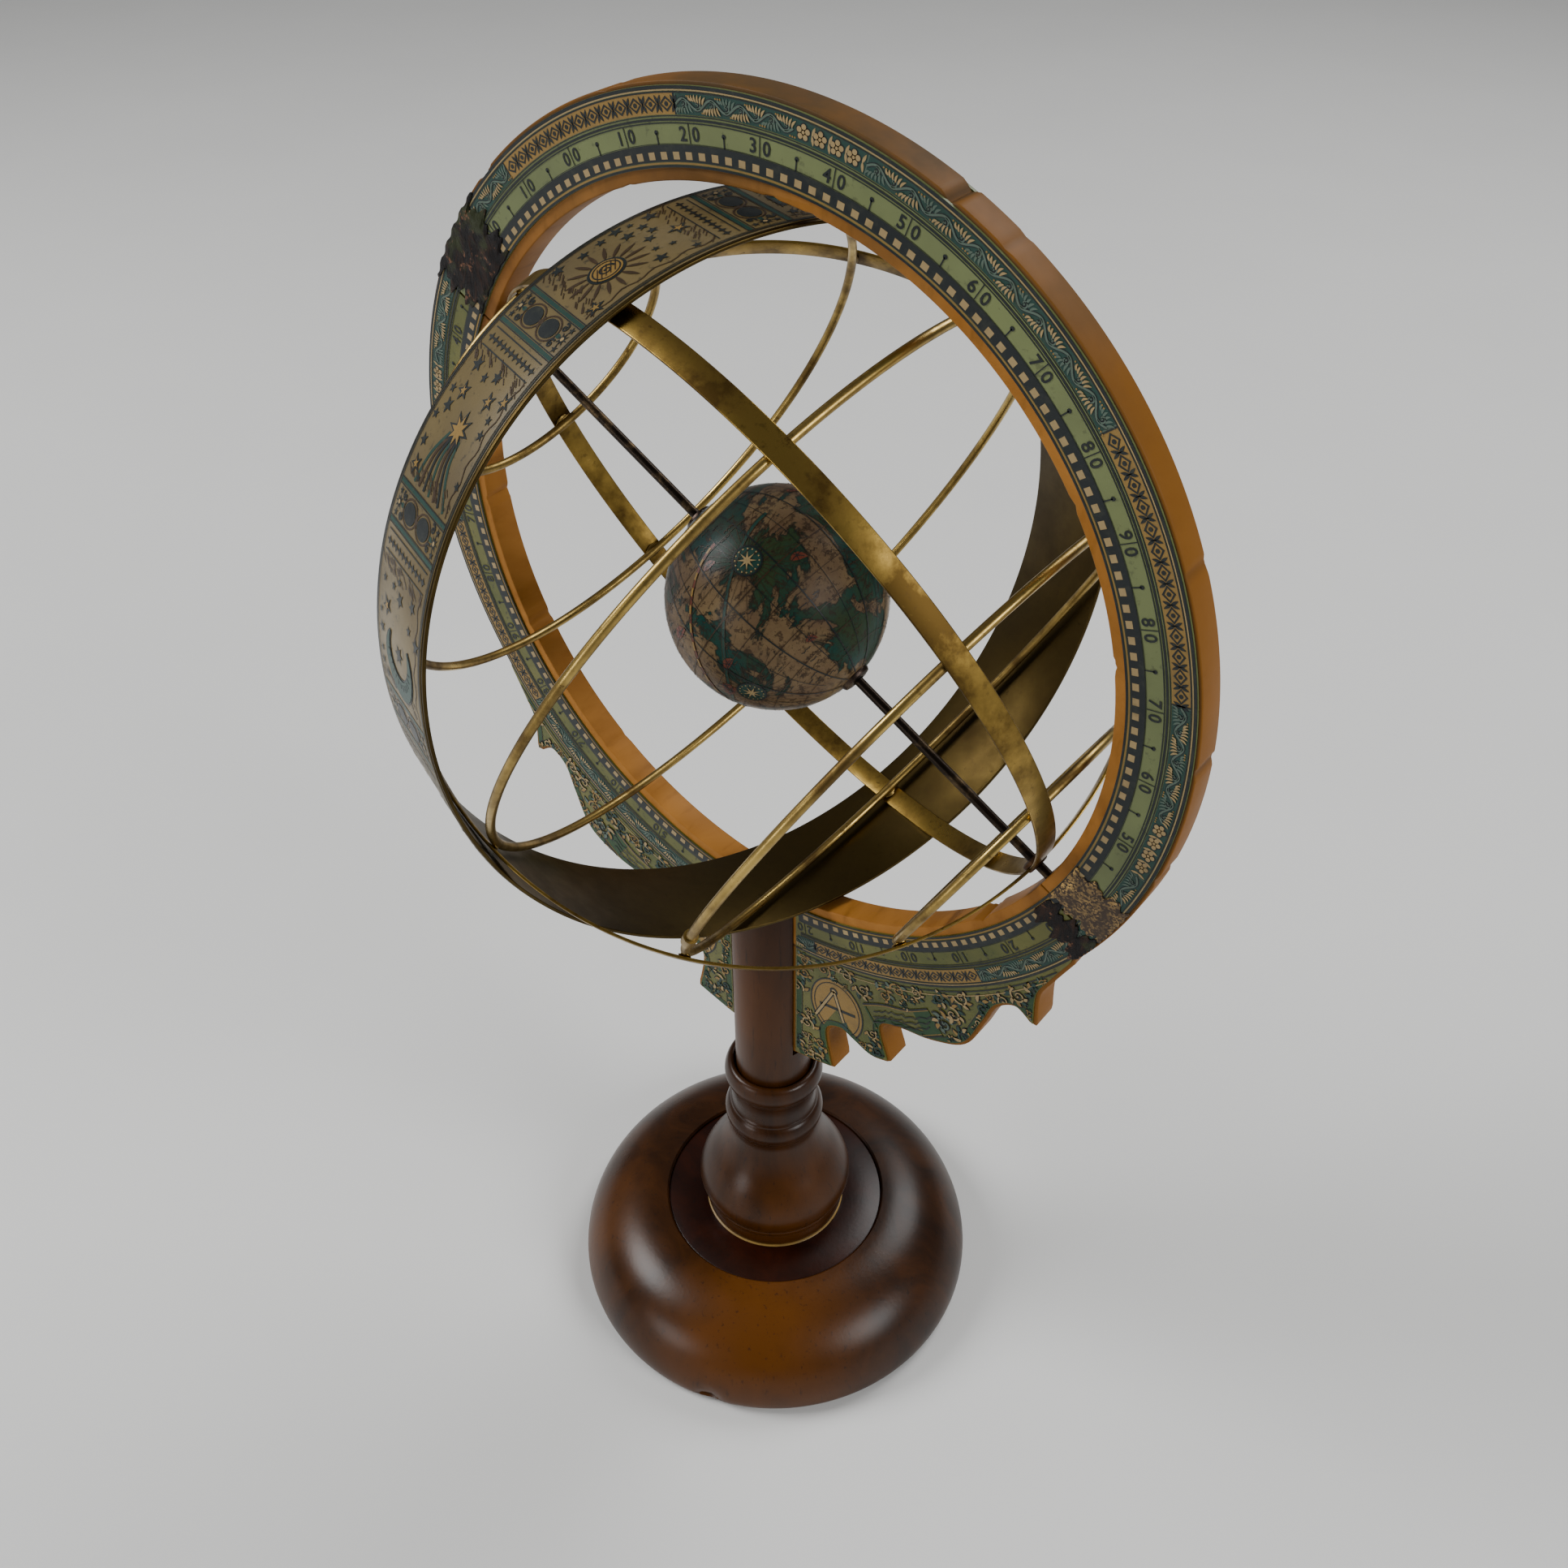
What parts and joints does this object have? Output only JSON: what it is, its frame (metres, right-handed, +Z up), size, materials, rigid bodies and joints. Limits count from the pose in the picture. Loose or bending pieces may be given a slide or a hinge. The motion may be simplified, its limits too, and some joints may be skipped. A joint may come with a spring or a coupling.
{
  "type": "armillary sphere",
  "caption": "Table armillary sphere: a brass ring cage and a small globe turn on an inclined rod in a printed ring board on a turned wooden post.",
  "frame": {"origin": "on the post's axis at the table surface, under the felt", "axes": "+Z up; the ring board stands in the XZ plane and its printed front faces -Y; the polar rod rises towards -X"},
  "size_m": [0.19, 0.15, 0.3216],
  "materials": {
    "felt": "matte",
    "mahogany": "polished",
    "inner_disc": "polished",
    "steel": "plain",
    "rod_steel": "dark patina",
    "board_wood": "varnished",
    "ring_print": "varnished print",
    "patch": "rough repair",
    "zodiac_print": "varnished print",
    "globe_map": "map paper under varnish",
    "cap_metal": "dark patina",
    "aged_brass": "aged with olive-brown patina"
  },
  "bodies": {
    "stand": {"felt_pad": "felt", "base_disc": "mahogany", "base_inner_disc": "inner_disc", "base_screw": "steel", "stem": "mahogany", "column": "mahogany", "ring_upper_half": "board_wood", "ring_lower_half": "board_wood", "front_print_upper": "ring_print", "front_print_right": "ring_print", "front_print_left": "ring_print", "back_print_upper": "ring_print", "back_print_right": "ring_print", "back_print_left": "ring_print", "patch_upper_joint": "patch", "patch_lower_joint": "patch", "polar_rod": "rod_steel", "upper_bead": "aged_brass"},
    "cage": {"colure_solstitial": "aged_brass", "colure_equinoctial_near": "aged_brass", "colure_equinoctial_far": "aged_brass", "equator_wire": "aged_brass", "tropic_wire_north": "aged_brass", "tropic_wire_south": "aged_brass", "polar_wire_north": "aged_brass", "polar_wire_south": "aged_brass", "zodiac_band": "aged_brass", "zodiac_print": "zodiac_print", "eyelet_north": "aged_brass", "eyelet_south": "aged_brass"},
    "globe": {"globe_ball": "globe_map", "globe_cap_north": "cap_metal", "globe_cap_south": "cap_metal"}
  },
  "joints": [
    {"name": "cage_spin", "type": "hinge", "parent": "stand", "child": "cage", "pos_m": [0, 0, 0.2266], "axis": [-0.881, 0, 0.4732], "continuous": true},
    {"name": "globe_spin", "type": "hinge", "parent": "stand", "child": "globe", "pos_m": [0, 0, 0.2266], "axis": [-0.881, 0, 0.4732], "continuous": true}
  ]
}
